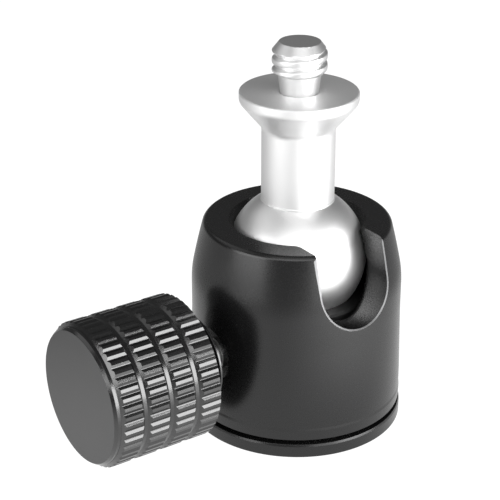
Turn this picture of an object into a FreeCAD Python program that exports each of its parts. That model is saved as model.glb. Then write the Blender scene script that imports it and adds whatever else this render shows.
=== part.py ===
import FreeCAD, Part
import math
import os

# Mini ball head that adapts a tripod or stand screw to a camera stud.
# Frame: millimetres, +Z up, origin on the central axis at the underside of the
# base disc.  The drop notch opens towards +X, the clamp knob points along -Y.

V = FreeCAD.Vector

# ---------------------------------------------------------------- dimensions
# base disc and the gap above it
DISC_R = 12.85
DISC_T = 1.7
DISC_CHAMFER = 0.1
DISC_CHAMFER_H = 0.28
DISC_FOOT_CHAMFER = 0.1
BODY_Z0 = 2.24

# body shell, outside
BODY_FOOT_R = 12.7
BODY_FOOT_CHAMFER = 0.04
BODY_WIDE_R = 12.75
BODY_WIDE_Z = 3.45
BODY_R = 12.5
BODY_WAIST_Z = 13.8
BODY_ARC_Z = 17.3
BODY_ARC_R = 12.5
BODY_CROWN_Z = 19.8
BODY_CROWN_R = 100.0
BODY_EDGE_Z = 24.42
BODY_TOP = 25.0
RIM_R_OUT = 10.7
RIM_R_IN = 8.05

# ball and its seat
BALL_Z = 20.5
BALL_R = 8.25
SEAT_R = 8.28
SEAT_TOP_Z = 24.1
SEAT_LOW_Z = 21.6
POCKET_R = 8.6
POCKET_TOP_Z = 20.95
FLAT_Z = 27.53

# drop notch in the wall
NOTCH_R = 4.7
NOTCH_Z = 20.35
NOTCH_Y_MIN = -4.72
NOTCH_Y_MAX = 4.52
NOTCH_LIP_R = 1.25

# pan bearing
LOWER_BORE_R = 9.4
LOWER_BORE_TOP_Z = 10.4
RING_BORE_R = 10.42
RING_R_OUT = 10.4
RING_R_IN = 7.66
RING_Z0 = 2.42
RING_Z1 = 5.28
SHOULDER_Z = 5.3
SPIGOT_R = 7.6
HUB_FLANGE_R = 9.0
HUB_FLANGE_Z = 5.6
HUB_BEVEL_R = 6.9
HUB_TOP_Z = 10.3
BUSH_R = 3.98
BUSH_TOP_Z = 6.9

# standard threads: 1/4 inch, 20 turns per inch
TRIPOD_HOLE_R = 2.55
STUD_MAJOR_R = 3.17
STUD_NECK_R = 2.22
STUD_NECK_TOP_R = 2.48
STUD_CHAMFER = 1.05

# screws that hold the disc to the pan hub
SCREW_PCD_R = 6.1
SCREW_R = 1.0
SCREW_HEAD_R = 1.85
SCREW_LEN = 5.0

# clamp parts under the ball
WEDGE_Z = 10.6
WEDGE_RING_R = 8.4
WEDGE_RING_Z1 = 13.3
CUP_Z0 = 13.95
CUP_Z1 = 15.85
CUP_R = 8.5

# clamp screw and knob, measured along -Y from the central axis
KNOB_Z = 10.6
SCREW_APEX = 6.64
CLAMP_SCREW_R = 2.0
KNOB_FRONT = 30.0
KNOB_BACK = 16.45
KNOB_R = 8.5
KNOB_RIM_R = 8.0
NECK_R = 5.42
NECK_BACK = 14.3
CAP_BACK = 29.27
CAP_SPIGOT_R = 6.48
CAP_SPIGOT_BACK = 27.9
BAND_PITCH = 3.35
GROOVE_W = 1.2
GROOVE_D = 0.38
GROOVE_WALL = 0.38
GROOVE_FIRST = 18.87
KNOB_BUSH_R = 3.4
KNOB_BUSH_BACK = 8.75
KNOB_BUSH_FRONT = 11.95
WASHER_R = 3.4
WASHER_BACK = 13.64
WASHER_FRONT = 14.26

# stem, flange and stud above the ball
STEM_FOOT_R = 4.36
STEM_R = 4.28
FLARE_Z0 = 36.48
FLARE_Z1 = 39.6
FLANGE_Z = 40.7
FLANGE_R = 6.88
STUD_THREAD_Z = 42.75
STUD_TOP_Z = 46.55
STUD_TOP_R = 2.35
STUD_LOW_Z = 36.2


# ------------------------------------------------------------------- helpers
def profile(points):
    """Closed face in the XZ plane from (r, z) points.  A third item on a point
    is the middle point of an arc that leads to it."""
    edges = []
    n = len(points)
    for i in range(n):
        a = points[i]
        b = points[(i + 1) % n]
        pa = V(a[0], 0, a[1])
        pb = V(b[0], 0, b[1])
        if len(b) > 2 and b[2] is not None:
            m = V(b[2][0], 0, b[2][1])
            edges.append(Part.Arc(pa, m, pb).toShape())
        else:
            edges.append(Part.LineSegment(pa, pb).toShape())
    return Part.Face(Part.Wire(edges))


def turned(points):
    """Solid of revolution about +Z."""
    s = profile(points).revolve(V(0, 0, 0), V(0, 0, 1), 360)
    if s.ShapeType != "Solid":
        s = Part.Solid(Part.Shell(s.Faces))
    if s.Volume < 0:
        s.reverse()
    return s


def on_knob_axis(shape):
    """Turn a solid built along +Z so that its +Z runs along -Y at the knob."""
    s = shape.copy()
    s.rotate(V(0, 0, 0), V(1, 0, 0), 90)
    s.translate(V(0, 0, KNOB_Z))
    return s


def cyl(r, z0, z1, x=0.0, y=0.0):
    return Part.makeCylinder(r, z1 - z0, V(x, y, z0), V(0, 0, 1))


def one(shape):
    """The single solid of a boolean result."""
    s = shape.removeSplitter()
    solids = s.Solids
    if len(solids) != 1:
        raise ValueError("expected one solid, got %d" % len(solids))
    return solids[0]


def save(shape, name):
    shape.exportStep("parts/" + name + ".step")
    n = len(shape.Solids)
    bb = shape.BoundBox
    print("%-22s solids %d  valid %s  vol %9.3f  z %.2f..%.2f"
          % (name, n, shape.isValid(), shape.Volume, bb.ZMin, bb.ZMax))


def body_r(z):
    """Outside radius of the body at height z, between its foot and its rim:
    a slight taper, a straight waist, a round shoulder and a nearly straight
    crown that runs on from the shoulder without a step."""
    if z <= BODY_WAIST_Z:
        return BODY_WIDE_R + (BODY_R - BODY_WIDE_R) * (z - BODY_WIDE_Z) / (BODY_WAIST_Z - BODY_WIDE_Z)
    if z <= BODY_ARC_Z:
        return BODY_R
    if z <= BODY_CROWN_Z:
        return BODY_R - BODY_ARC_R + math.sqrt(BODY_ARC_R ** 2 - (z - BODY_ARC_Z) ** 2)
    a = math.asin((BODY_CROWN_Z - BODY_ARC_Z) / BODY_ARC_R)
    r0 = BODY_R - BODY_ARC_R + BODY_ARC_R * math.cos(a)
    rc = r0 - BODY_CROWN_R * math.cos(a)
    zc = BODY_CROWN_Z - BODY_CROWN_R * math.sin(a)
    return rc + math.sqrt(BODY_CROWN_R ** 2 - (z - zc) ** 2)


def sphere_r(z, r):
    return math.sqrt(r * r - (z - BALL_Z) ** 2)


os.makedirs("parts", exist_ok=True)

# ---------------------------------------------------------------- base group
# Base disc: flat turned disc, screwed to the pan hub from below.
base_disc = turned([
    (BUSH_R + 0.02, 0.0),
    (DISC_R - DISC_FOOT_CHAMFER, 0.0),
    (DISC_R, DISC_FOOT_CHAMFER),
    (DISC_R, DISC_T - DISC_CHAMFER_H),
    (DISC_R - DISC_CHAMFER, DISC_T),
    (BUSH_R + 0.02, DISC_T),
])
screw_places = []
for k in range(3):
    a = math.radians(30 + 120 * k)
    screw_places.append((SCREW_PCD_R * math.cos(a), SCREW_PCD_R * math.sin(a)))
for (sx, sy) in screw_places:
    hole = cyl(SCREW_R + 0.1, -0.1, DISC_T + 0.1, sx, sy)
    sink = Part.makeCone(SCREW_HEAD_R + 0.12, SCREW_R + 0.12, SCREW_HEAD_R - SCREW_R,
                         V(sx, sy, 0.18), V(0, 0, 1))
    mouth = cyl(SCREW_HEAD_R + 0.12, -0.1, 0.181, sx, sy)
    base_disc = base_disc.cut(hole).cut(sink).cut(mouth)
base_disc = one(base_disc)
save(base_disc, "base_disc")

# Three countersunk screws with a hexagon socket.
screws = []
for (sx, sy) in screw_places:
    s = turned([
        (0.0, 0.12),
        (SCREW_HEAD_R, 0.12),
        (SCREW_HEAD_R, 0.2),
        (SCREW_R, 0.2 + SCREW_HEAD_R - SCREW_R),
        (SCREW_R, SCREW_LEN - 0.25),
        (SCREW_R - 0.25, SCREW_LEN),
        (0.0, SCREW_LEN),
    ])
    hexa = Part.Face(Part.Wire(Part.makePolygon([
        V(0.72 * math.cos(math.radians(60 * i)), 0.72 * math.sin(math.radians(60 * i)), 0.0)
        for i in range(7)]).Edges))
    sock = hexa.extrude(V(0, 0, 0.85))
    s = s.cut(sock)
    s.translate(V(sx, sy, 0))
    screws.append(one(s))
save(Part.makeCompound(screws), "base_screws")

# Steel bush with the female thread for the tripod or stand screw.
tripod_thread_bush = turned([
    (TRIPOD_HOLE_R, 0.0),
    (BUSH_R, 0.0),
    (BUSH_R, BUSH_TOP_Z - 0.3),
    (BUSH_R - 0.3, BUSH_TOP_Z),
    (TRIPOD_HOLE_R, BUSH_TOP_Z),
])
save(tripod_thread_bush, "tripod_thread_bush")

# Pan hub: the spigot turns in the retaining ring, the bevelled top takes the
# wedge of the clamp screw.
pan_hub = turned([
    (BUSH_R + 0.02, DISC_T),
    (SPIGOT_R, DISC_T),
    (SPIGOT_R, HUB_FLANGE_Z),
    (HUB_FLANGE_R, HUB_FLANGE_Z),
    (HUB_FLANGE_R, HUB_TOP_Z - (HUB_FLANGE_R - HUB_BEVEL_R)),
    (HUB_BEVEL_R, HUB_TOP_Z),
    (3.0, HUB_TOP_Z),
    (3.0, HUB_TOP_Z - 0.6),
    (0.0, HUB_TOP_Z - 0.6),
    (0.0, BUSH_TOP_Z + 0.35),
    (BUSH_R + 0.02, BUSH_TOP_Z + 0.35),
])
for (sx, sy) in screw_places:
    pan_hub = pan_hub.cut(cyl(SCREW_R + 0.02, DISC_T - 0.1, SCREW_LEN + 0.4, sx, sy))
pan_hub = one(pan_hub)
save(pan_hub, "pan_hub")

# Plastic slip washer between the disc and the retaining ring.
save(turned([
    (SPIGOT_R + 0.12, DISC_T),
    (10.3, DISC_T),
    (10.3, RING_Z0 - 0.03),
    (SPIGOT_R + 0.12, RING_Z0 - 0.03),
]), "pan_washer_lower")

# ------------------------------------------------------------- body (housing)
shoulder_z = 0.5 * (BODY_ARC_Z + BODY_CROWN_Z)
crown_z = 0.5 * (BODY_CROWN_Z + BODY_EDGE_Z)
shell = turned([
    (RING_BORE_R, BODY_Z0),
    (BODY_FOOT_R - BODY_FOOT_CHAMFER, BODY_Z0),
    (BODY_FOOT_R, BODY_Z0 + BODY_FOOT_CHAMFER),
    (BODY_WIDE_R, BODY_WIDE_Z),
    (BODY_R, BODY_WAIST_Z),
    (BODY_R, BODY_ARC_Z),
    (body_r(BODY_CROWN_Z), BODY_CROWN_Z, (body_r(shoulder_z), shoulder_z)),
    (body_r(BODY_EDGE_Z), BODY_EDGE_Z, (body_r(crown_z), crown_z)),
    (RIM_R_OUT, BODY_TOP, (11.02, BODY_TOP - 0.23)),
    (RIM_R_IN, BODY_TOP),
    (sphere_r(SEAT_TOP_Z, SEAT_R), SEAT_TOP_Z),
    (sphere_r(SEAT_LOW_Z, SEAT_R), SEAT_LOW_Z,
     (sphere_r(22.9, SEAT_R), 22.9)),
    (POCKET_R, POCKET_TOP_Z),
    (POCKET_R, LOWER_BORE_TOP_Z),
    (LOWER_BORE_R, LOWER_BORE_TOP_Z),
    (LOWER_BORE_R, SHOULDER_Z),
    (RING_BORE_R, SHOULDER_Z),
])

# The drop notch: round-bottomed slot through the wall on the +X side.

def notch_tool(grow, x0, x1):
    """Prism along X with the notch's outline, made larger by grow."""
    r = NOTCH_R + grow
    zc = NOTCH_Z
    half = r
    top = BODY_TOP + 3.0
    yl = NOTCH_Y_MIN - grow
    yr = NOTCH_Y_MAX + grow
    p_left_top = V(x0, yl, top)
    p_left = V(x0, -half, zc)
    p_bot = V(x0, 0.0, zc - r)
    p_right = V(x0, half, zc)
    p_right_top = V(x0, yr, top)
    edges = [
        Part.LineSegment(p_left_top, p_left).toShape(),
        Part.Arc(p_left, p_bot, p_right).toShape(),
        Part.LineSegment(p_right, p_right_top).toShape(),
        Part.LineSegment(p_right_top, p_left_top).toShape(),
    ]
    return Part.Face(Part.Wire(edges)).extrude(V(x1 - x0, 0, 0))


def lip_tool(sign, y_wall):
    """Fillet between the round mouth and a notch wall, seen from above: the
    sharp corner outside an arc of radius NOTCH_LIP_R is cut away."""
    r = NOTCH_LIP_R
    rm = RIM_R_IN
    # centre of the rounding: r outside the wall line and r outside the mouth
    cy = y_wall + sign * r
    cx = math.sqrt((rm + r) ** 2 - cy ** 2)
    d = math.hypot(cx, cy)
    t1 = (cx * rm / d, cy * rm / d)          # touches the mouth circle
    t2 = (cx, y_wall)                        # touches the notch wall
    # corner of mouth circle and wall
    q = (math.sqrt(rm * rm - y_wall * y_wall), y_wall)
    # arc's middle point
    ux, uy = (q[0] - cx), (q[1] - cy)
    un = math.hypot(ux, uy)
    m = (cx + r * ux / un, cy + r * uy / un)
    z0 = NOTCH_Z + 0.6
    # the removed piece reaches inwards past the corner
    inner = (q[0] - 1.2, y_wall - sign * 0.4)
    edges = [
        Part.Arc(V(t1[0], t1[1], z0), V(m[0], m[1], z0), V(t2[0], t2[1], z0)).toShape(),
        Part.LineSegment(V(t2[0], t2[1], z0), V(t2[0], t2[1] - sign * 0.4, z0)).toShape(),
        Part.LineSegment(V(t2[0], t2[1] - sign * 0.4, z0), V(inner[0], inner[1], z0)).toShape(),
        Part.LineSegment(V(inner[0], inner[1], z0), V(t1[0], t1[1], z0)).toShape(),
    ]
    return Part.Face(Part.Wire(edges)).extrude(V(0, 0, 10.0))


housing = shell.cut(notch_tool(0.0, 1.0, 15.0))
housing = housing.cut(lip_tool(-1, NOTCH_Y_MIN)).cut(lip_tool(1, NOTCH_Y_MAX))

# Bore for the knob bush.
housing = housing.cut(on_knob_axis(cyl(KNOB_BUSH_R + 0.02, 6.0, 14.0)))
housing = one(housing)
save(housing, "housing")

# Retaining ring with two pin-spanner holes.
ring = turned([
    (RING_R_IN, RING_Z0),
    (RING_R_OUT, RING_Z0),
    (RING_R_OUT, RING_Z1),
    (RING_R_IN, RING_Z1),
])
for s in (1, -1):
    ring = ring.cut(cyl(0.5, RING_Z0 - 0.1, RING_Z0 + 1.2, s * 9.05, 0))
save(one(ring), "retaining_ring")

# Upper slip washer between the retaining ring and the hub's flange.
save(turned([
    (SPIGOT_R + 0.12, RING_Z1),
    (HUB_FLANGE_R - 0.05, RING_Z1),
    (HUB_FLANGE_R - 0.05, HUB_FLANGE_Z - 0.03),
    (SPIGOT_R + 0.12, HUB_FLANGE_Z - 0.03),
]), "pan_washer_upper")

# Plain bush pressed into the wall, threaded for the clamp screw.
knob_bush = turned([
    (CLAMP_SCREW_R + 0.05, KNOB_BUSH_BACK),
    (KNOB_BUSH_R, KNOB_BUSH_BACK),
    (KNOB_BUSH_R, KNOB_BUSH_FRONT - 0.25),
    (KNOB_BUSH_R - 0.25, KNOB_BUSH_FRONT),
    (CLAMP_SCREW_R + 0.05, KNOB_BUSH_FRONT),
])
knob_bush = on_knob_axis(knob_bush).cut(cyl(HUB_FLANGE_R + 0.1, 0.0, 16.0))
save(one(knob_bush), "knob_bush")

# --------------------------------------------------------------- clamp group
# Pressure ring: its bevel faces down and outwards onto the screw's cone.
save(turned([
    (4.6, WEDGE_Z + 0.3),
    (HUB_BEVEL_R, WEDGE_Z + 0.3),
    (WEDGE_RING_R, WEDGE_Z + 0.3 + WEDGE_RING_R - HUB_BEVEL_R),
    (WEDGE_RING_R, WEDGE_RING_Z1),
    (4.6, WEDGE_RING_Z1),
]), "pressure_ring")

# Disc spring between the pressure ring and the ball cup.
save(turned([
    (5.6, WEDGE_RING_Z1 + 0.01),
    (8.1, CUP_Z0 - 0.31),
    (8.1, CUP_Z0 - 0.01),
    (5.6, WEDGE_RING_Z1 + 0.31),
]), "disc_spring")

# Ball cup with a spherical seat.
cup_mid = 14.9
save(turned([
    (sphere_r(CUP_Z1, SEAT_R), CUP_Z1),
    (sphere_r(CUP_Z0, SEAT_R), CUP_Z0, (sphere_r(cup_mid, SEAT_R), cup_mid)),
    (CUP_R, CUP_Z0),
    (CUP_R, CUP_Z1 - 0.25),
    (CUP_R - 0.25, CUP_Z1),
]), "ball_cup")

# ---------------------------------------------------------------- knob group
save(on_knob_axis(turned([
    (CLAMP_SCREW_R + 0.1, WASHER_BACK),
    (WASHER_R, WASHER_BACK),
    (WASHER_R, WASHER_FRONT),
    (CLAMP_SCREW_R + 0.1, WASHER_FRONT),
])), "knob_washer")

# Clamp screw with a conical point.
save(on_knob_axis(turned([
    (0.0, SCREW_APEX + 0.3),
    (0.3, SCREW_APEX + 0.3),
    (CLAMP_SCREW_R, SCREW_APEX + CLAMP_SCREW_R),
    (CLAMP_SCREW_R, 27.2),
    (CLAMP_SCREW_R - 0.3, 27.5),
    (0.0, 27.5),
])), "clamp_screw")

# Knob shell: turned sleeve with a neck, three grooves between four knurled
# bands and a bevel down to the front cap.
outer = [
    (NECK_R, NECK_BACK),
    (NECK_R, KNOB_BACK),
    (KNOB_R - 0.3, KNOB_BACK),
    (KNOB_R, KNOB_BACK + 0.2),
]
for k in range(3):
    g0 = GROOVE_FIRST + k * BAND_PITCH
    g1 = g0 + GROOVE_W
    outer += [
        (KNOB_R, g0),
        (KNOB_R - GROOVE_D, g0 + GROOVE_WALL),
        (KNOB_R - GROOVE_D, g1 - GROOVE_WALL),
        (KNOB_R, g1),
    ]
outer += [
    (KNOB_R, GROOVE_FIRST + 3 * BAND_PITCH),
    (KNOB_RIM_R, CAP_BACK),
    (CAP_SPIGOT_R + 0.02, CAP_BACK),
    (CAP_SPIGOT_R + 0.02, CAP_SPIGOT_BACK - 0.05),
    (CLAMP_SCREW_R + 0.02, CAP_SPIGOT_BACK - 0.05),
    (CLAMP_SCREW_R + 0.02, NECK_BACK),
]
knob_shell = on_knob_axis(turned(outer))
GRUB_Y = -15.35
grub_hole = Part.makeCylinder(0.82, 5.0, V(0, GRUB_Y, KNOB_Z - 1.0), V(0, 0, -1))
knob_shell = one(knob_shell.cut(grub_hole))
save(knob_shell, "knob_shell")

# Front cap: plain rim and face disc, with a spigot pressed into the shell.
save(on_knob_axis(turned([
    (0.0, CAP_SPIGOT_BACK),
    (CAP_SPIGOT_R - 0.3, CAP_SPIGOT_BACK),
    (CAP_SPIGOT_R, CAP_SPIGOT_BACK + 0.3),
    (CAP_SPIGOT_R, CAP_BACK + 0.01),
    (KNOB_RIM_R, CAP_BACK + 0.01),
    (KNOB_RIM_R, KNOB_FRONT - 0.2),
    (KNOB_RIM_R - 0.2, KNOB_FRONT, (KNOB_RIM_R - 0.0586, KNOB_FRONT - 0.0586)),
    (0.0, KNOB_FRONT),
])), "knob_cap")

# Grub screw in the neck that locks the shell to the clamp screw.
grub = Part.makeCylinder(0.8, 2.3, V(0, GRUB_Y, KNOB_Z - CLAMP_SCREW_R - 0.02), V(0, 0, -1))
grub = grub.cut(Part.makeCylinder(0.4, 0.8, V(0, GRUB_Y, KNOB_Z - CLAMP_SCREW_R - 1.6), V(0, 0, -1)))
save(one(grub), "knob_grub_screw")

# ---------------------------------------------------------------- ball group
# Ball with a flat for the stem, a blind bore for its spigot and a cross hole.
ball = Part.makeSphere(BALL_R, V(0, 0, BALL_Z))
ball = ball.cut(cyl(6.0, FLAT_Z, BALL_Z + BALL_R + 1))
ball = ball.cut(cyl(2.03, 17.2, FLAT_Z + 1))
cross = Part.makeCylinder(1.53, BALL_R + 1.0, V(0, 0.0, BALL_Z), V(0, 1, 0))
ball = one(ball.cut(cross))
save(ball, "ball")

lock = Part.makeCylinder(1.5, 5.1, V(0, 2.1, BALL_Z), V(0, 1, 0))
hexl = Part.Face(Part.Wire(Part.makePolygon([
    V(0.85 * math.cos(math.radians(60 * i)), 7.2, BALL_Z + 0.85 * math.sin(math.radians(60 * i)))
    for i in range(7)]).Edges)).extrude(V(0, -1.5, 0))
save(one(lock.cut(hexl)), "ball_lock_screw")

# Stem: foot, straight shank, flare and flange, with a spigot into the ball.
stem = turned([
    (0.0, 17.5),
    (2.0, 17.5),
    (2.0, FLAT_Z),
    (STEM_FOOT_R, FLAT_Z),
    (STEM_FOOT_R, FLAT_Z + 0.17),
    (STEM_R, FLAT_Z + 0.25),
    (STEM_R, FLARE_Z0),
    (FLANGE_R, FLARE_Z1),
    (FLANGE_R, FLANGE_Z - 0.15),
    (FLANGE_R - 0.15, FLANGE_Z),
    (STUD_NECK_TOP_R + 0.08, FLANGE_Z),
    (STUD_NECK_R + 0.03, FLANGE_Z - 0.15),
    (STUD_NECK_R + 0.03, STUD_LOW_Z - 0.3),
    (0.0, STUD_LOW_Z - 0.3),
])
save(stem, "flange_stem")

# Camera stud: lower shank in the stem, relief neck, 1/4 inch thread envelope.
save(turned([
    (0.0, STUD_LOW_Z),
    (STUD_NECK_R, STUD_LOW_Z),
    (STUD_NECK_R, FLANGE_Z),
    (STUD_NECK_TOP_R, STUD_THREAD_Z),
    (STUD_MAJOR_R, STUD_THREAD_Z),
    (STUD_MAJOR_R, STUD_TOP_Z - STUD_CHAMFER),
    (STUD_TOP_R, STUD_TOP_Z),
    (0.0, STUD_TOP_Z),
]), "camera_stud")
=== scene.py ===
import math

import bpy
import bmesh
import numpy as np
from mathutils import Matrix, Vector


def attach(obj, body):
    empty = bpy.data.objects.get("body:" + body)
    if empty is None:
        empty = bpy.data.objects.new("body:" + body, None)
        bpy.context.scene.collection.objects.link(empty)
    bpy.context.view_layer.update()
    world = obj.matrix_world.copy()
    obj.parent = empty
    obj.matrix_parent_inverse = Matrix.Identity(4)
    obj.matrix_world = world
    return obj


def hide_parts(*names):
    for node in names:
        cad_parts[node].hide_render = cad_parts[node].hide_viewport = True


# Looks of a mini ball head. Lengths in the tables below are millimetres and are
# turned into metres when a mesh is made. +Z is up, the drop notch opens towards
# +X, the clamp knob points along -Y.

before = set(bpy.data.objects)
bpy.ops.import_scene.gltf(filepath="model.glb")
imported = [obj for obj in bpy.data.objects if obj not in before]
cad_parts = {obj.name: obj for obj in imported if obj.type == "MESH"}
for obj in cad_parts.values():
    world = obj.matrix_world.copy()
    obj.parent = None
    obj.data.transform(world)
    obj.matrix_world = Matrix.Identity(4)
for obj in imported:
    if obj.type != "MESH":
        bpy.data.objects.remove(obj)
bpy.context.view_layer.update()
MM = 0.001
# strengths of the painted floor light: near and far falloff, and the painted pools below the right and left lights
FLOOR_NEAR, FLOOR_FAR = 0.95, 0.42
FLOOR_RIGHT, FLOOR_LEFT = 2.0, 0.7


# ------------------------------------------------------------ mesh helpers
def make_object(name, verts, faces, mats, face_mats=None, sharp_deg=30.0, merge=2e-4):
    """Closed mesh from millimetre vertices, smooth shaded, sharp where it bends more than sharp_deg."""
    me = bpy.data.meshes.new(name)
    bm = bmesh.new()
    vs = [bm.verts.new((v[0], v[1], v[2])) for v in verts]
    for k, f in enumerate(faces):
        if len(set(f)) < 3:
            continue
        try:
            bf = bm.faces.new([vs[i] for i in f])
        except ValueError:
            continue
        if face_mats is not None:
            bf.material_index = face_mats[k]
    bmesh.ops.remove_doubles(bm, verts=bm.verts, dist=merge)
    bmesh.ops.dissolve_degenerate(bm, edges=bm.edges, dist=merge * 0.5)
    loose = [v for v in bm.verts if not v.link_faces]
    if loose:
        bmesh.ops.delete(bm, geom=loose, context="VERTS")
    bmesh.ops.recalc_face_normals(bm, faces=bm.faces)
    bm.to_mesh(me)
    bm.free()
    me.transform(Matrix.Scale(MM, 4))
    for m in mats:
        me.materials.append(m)
    o = bpy.data.objects.new(name, me)
    bpy.context.scene.collection.objects.link(o)
    finish_shading(o, sharp_deg)
    return o


def finish_shading(o, sharp_deg):
    me = o.data
    me.polygons.foreach_set("use_smooth", [True] * len(me.polygons))
    bm = bmesh.new()
    bm.from_mesh(me)
    lim = math.radians(sharp_deg)
    for e in bm.edges:
        e.smooth = len(e.link_faces) == 2 and e.calc_face_angle(0.0) < lim
    bm.to_mesh(me)
    bm.free()
    me.update()


def rounded(points, steps=4, support=0.0):
    """(r, z) or (r, z, fillet) points; corners with a fillet become arcs with steps facets and support loops beside them."""
    out = []
    n = len(points)
    for i, p in enumerate(points):
        rad = p[2] if len(p) > 2 else 0.0
        if rad <= 0 or i == 0 or i == n - 1:
            out.append((p[0], p[1]))
            continue
        a, b, c = (Vector((q[0], q[1])) for q in (points[i - 1], p, points[i + 1]))
        u, w = (a - b), (c - b)
        lu, lw = u.length, w.length
        u.normalize()
        w.normalize()
        ang = math.acos(max(-1.0, min(1.0, u.dot(w))))
        t = rad / math.tan(ang / 2)
        t = min(t, lu * 0.48, lw * 0.48)
        rr = t * math.tan(ang / 2)
        centre = b + (u + w).normalized() * (rr / math.sin(ang / 2))
        s, e = b + u * t, b + w * t
        sup = support if support > 0 else rr * 0.9
        if lu * 0.5 - t > sup * 1.2:
            out.append(tuple(s + u * sup))
        a0 = math.atan2(s.y - centre.y, s.x - centre.x)
        a1 = math.atan2(e.y - centre.y, e.x - centre.x)
        d = (a1 - a0 + math.pi) % (2 * math.pi) - math.pi
        for k in range(steps + 1):
            q = a0 + d * k / steps
            out.append((centre.x + rr * math.cos(q), centre.y + rr * math.sin(q)))
        if lw * 0.5 - t > sup * 1.2:
            out.append(tuple(e + w * sup))
    return out


def arc3(a, m, b, steps):
    """Points of the arc from a over m to b, a left out."""
    ax, ay = a
    bx, by = m
    cx, cy = b
    d = 2 * (ax * (by - cy) + bx * (cy - ay) + cx * (ay - by))
    ux = ((ax * ax + ay * ay) * (by - cy) + (bx * bx + by * by) * (cy - ay) + (cx * cx + cy * cy) * (ay - by)) / d
    uy = ((ax * ax + ay * ay) * (cx - bx) + (bx * bx + by * by) * (ax - cx) + (cx * cx + cy * cy) * (bx - ax)) / d
    r = math.hypot(ax - ux, ay - uy)
    a0 = math.atan2(ay - uy, ax - ux)
    a1 = math.atan2(cy - uy, cx - ux)
    dd = (a1 - a0 + math.pi) % (2 * math.pi) - math.pi
    return [(ux + r * math.cos(a0 + dd * k / steps), uy + r * math.sin(a0 + dd * k / steps)) for k in range(1, steps + 1)]


def grid_faces(rows, cols, base=0, wrap_cols=True, wrap_rows=False):
    out = []
    for j in range(rows if wrap_rows else rows - 1):
        j2 = (j + 1) % rows
        for i in range(cols if wrap_cols else cols - 1):
            i2 = (i + 1) % cols
            out.append((base + j * cols + i, base + j * cols + i2, base + j2 * cols + i2, base + j2 * cols + i))
    return out


def lathe(name, prof, mats, seg=192, closed=False, axis="z", mat_of=None, sharp_deg=30.0, make=True):
    """Turned piece. prof is (r, z) points in millimetres; closed for a ring section, else it starts and ends on the axis."""
    ang = np.arange(seg) * 2 * math.pi / seg
    ca, sa = np.cos(ang), np.sin(ang)
    verts = []
    for (r, z) in prof:
        r = max(r, 0.0)
        verts += [(r * c, r * s, z) for c, s in zip(ca, sa)]
    faces = grid_faces(len(prof), seg, wrap_rows=closed)
    fm = None
    if mat_of is not None:
        fm = []
        n = len(prof)
        for j in range(n if closed else n - 1):
            a, b = prof[j], prof[(j + 1) % n]
            fm += [mat_of(0.5 * (a[0] + b[0]), 0.5 * (a[1] + b[1]))] * seg
    if axis == "knob":
        verts = [on_knob_axis(v) for v in verts]
    if not make:
        return verts, faces, fm
    return make_object(name, verts, faces, mats, fm, sharp_deg)


KNOB_Z = 10.6


def on_knob_axis(v):
    return (v[0], -v[2], v[1] + KNOB_Z)


def cut(o, *tools, sharp_deg=30.0, solver="EXACT"):
    """Boolean difference, applied; the tools are removed."""
    for t in tools:
        m = o.modifiers.new("cut", "BOOLEAN")
        m.operation = "DIFFERENCE"
        m.solver = solver
        m.object = t
        bpy.context.view_layer.update()
        dg = bpy.context.evaluated_depsgraph_get()
        me = bpy.data.meshes.new_from_object(o.evaluated_get(dg))
        old = o.data
        o.modifiers.clear()
        o.data = me
        bpy.data.meshes.remove(old)
    for t in tools:
        bpy.data.objects.remove(t)
    me = o.data
    bm = bmesh.new()
    bm.from_mesh(me)
    bmesh.ops.remove_doubles(bm, verts=bm.verts, dist=1e-7)
    bmesh.ops.dissolve_degenerate(bm, edges=bm.edges, dist=5e-8)
    bm.to_mesh(me)
    bm.free()
    finish_shading(o, sharp_deg)
    return o


def place(o, body, *nodes, slot=None):
    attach(o, body)
    if nodes:
        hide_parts(*nodes)
    return o


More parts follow.
